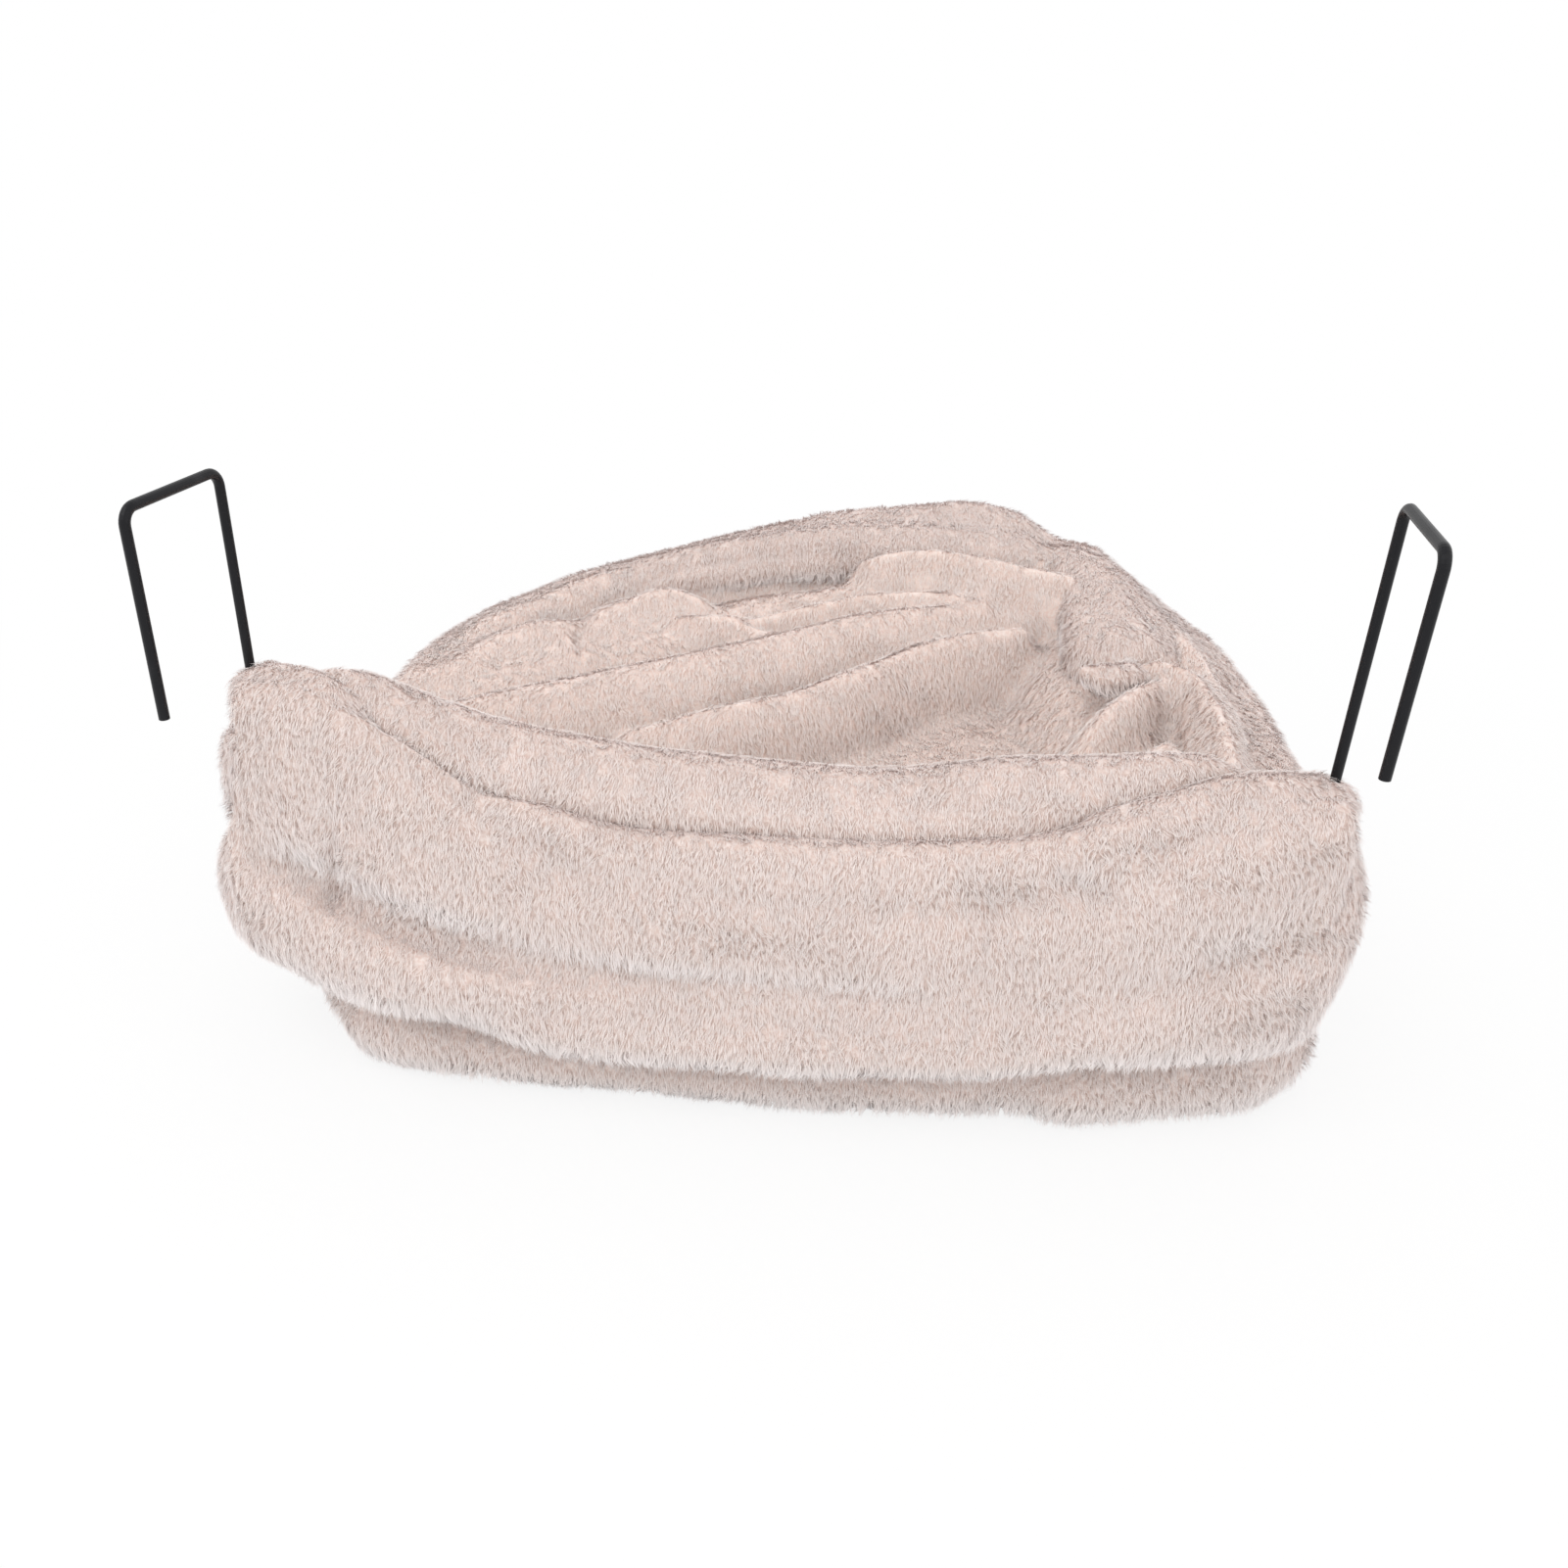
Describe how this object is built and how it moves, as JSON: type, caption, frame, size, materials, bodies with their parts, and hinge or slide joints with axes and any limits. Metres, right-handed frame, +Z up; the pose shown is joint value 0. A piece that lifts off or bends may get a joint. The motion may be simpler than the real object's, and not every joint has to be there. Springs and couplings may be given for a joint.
{
  "type": "radiator cat bed",
  "caption": "Plush cat bed that hangs from a radiator by wire hooks, shown put down with its soft sack fallen into rolls.",
  "frame": {"origin": "centre of the bed's box in plan, at the table it stands on", "axes": "+X along the radiator side from the left hook to the right hook, +Y away from the radiator, +Z up"},
  "size_m": [0.4688, 0.3396, 0.26],
  "materials": {
    "hook_coat": "gloss black powder coat",
    "frame_coat": "black powder coat",
    "plush": "long blush plush pile",
    "lining_plush": "long blush plush pile",
    "wadding": "white needled wadding"
  },
  "bodies": {
    "sack": {"left_socket": "frame_coat", "right_socket": "frame_coat", "hoop_wire": "frame_coat", "back_bar": "frame_coat", "front_rim_tunnel": "plush", "back_rim_tunnel": "plush", "back_panel": "plush", "front_wall": "plush", "lining": "lining_plush", "base_panel": "plush", "base_wadding": "wadding", "left_corner_sleeve": "plush", "right_corner_sleeve": "plush"},
    "left_hook": {"left_hook": "hook_coat"},
    "right_hook": {"right_hook": "hook_coat"}
  },
  "joints": [
    {"name": "left_hook_swivel", "type": "hinge", "parent": "sack", "child": "left_hook", "pos_m": [-0.21616, -0.11296, 0.07], "axis": [0, 0, 1], "continuous": true},
    {"name": "right_hook_swivel", "type": "hinge", "parent": "sack", "child": "right_hook", "pos_m": [0.20784, -0.11296, 0.07], "axis": [0, 0, 1], "continuous": true}
  ]
}
